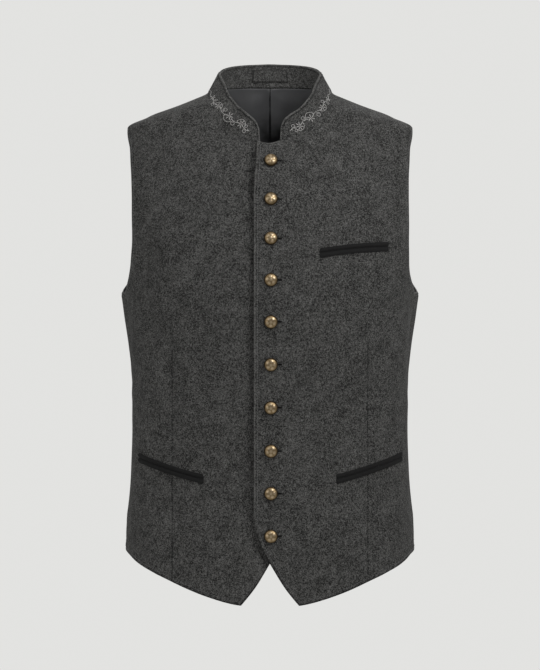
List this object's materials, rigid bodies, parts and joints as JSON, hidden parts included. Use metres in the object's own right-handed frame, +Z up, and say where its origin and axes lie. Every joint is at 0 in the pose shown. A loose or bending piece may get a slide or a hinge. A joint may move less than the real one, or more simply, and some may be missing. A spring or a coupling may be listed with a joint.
{
  "type": "vest",
  "caption": "Man's sleeveless wool folk vest with a stand collar, buttoned front, slanted piped pockets and a pointed notched hem, filled out as worn.",
  "frame": {"origin": "between the two shoulder seams at half their length, where the wearer's shoulders carry the vest", "axes": "+Z up along the body, the front faces -Y, the wearer's left is +X"},
  "size_m": [0.3812, 0.2456, 0.6891],
  "materials": {
    "charcoal_wool": "fulled wool cloth, charcoal melange",
    "lining_satin": "smooth dark lining satin",
    "black_felt": "black felt piping",
    "light_thread": "light grey embroidery thread",
    "antique_brass": "antique brass with dark hollows"
  },
  "bodies": {
    "root": {"front_left": "charcoal_wool", "front_right": "charcoal_wool", "back_left": "charcoal_wool", "back_right": "charcoal_wool", "lining_left": "lining_satin", "lining_right": "lining_satin", "collar_outer": "charcoal_wool", "collar_inner": "charcoal_wool", "collar_patch": "charcoal_wool", "pocket_chest_upper_lip": "black_felt", "pocket_chest_lower_lip": "black_felt", "pocket_left_upper_lip": "black_felt", "pocket_left_lower_lip": "black_felt", "pocket_right_upper_lip": "black_felt", "pocket_right_lower_lip": "black_felt", "button_01": "antique_brass", "button_02": "antique_brass", "button_03": "antique_brass", "button_04": "antique_brass", "button_05": "antique_brass", "button_06": "antique_brass", "button_07": "antique_brass", "button_08": "antique_brass", "button_09": "antique_brass", "button_10": "antique_brass"}
  },
  "joints": []
}
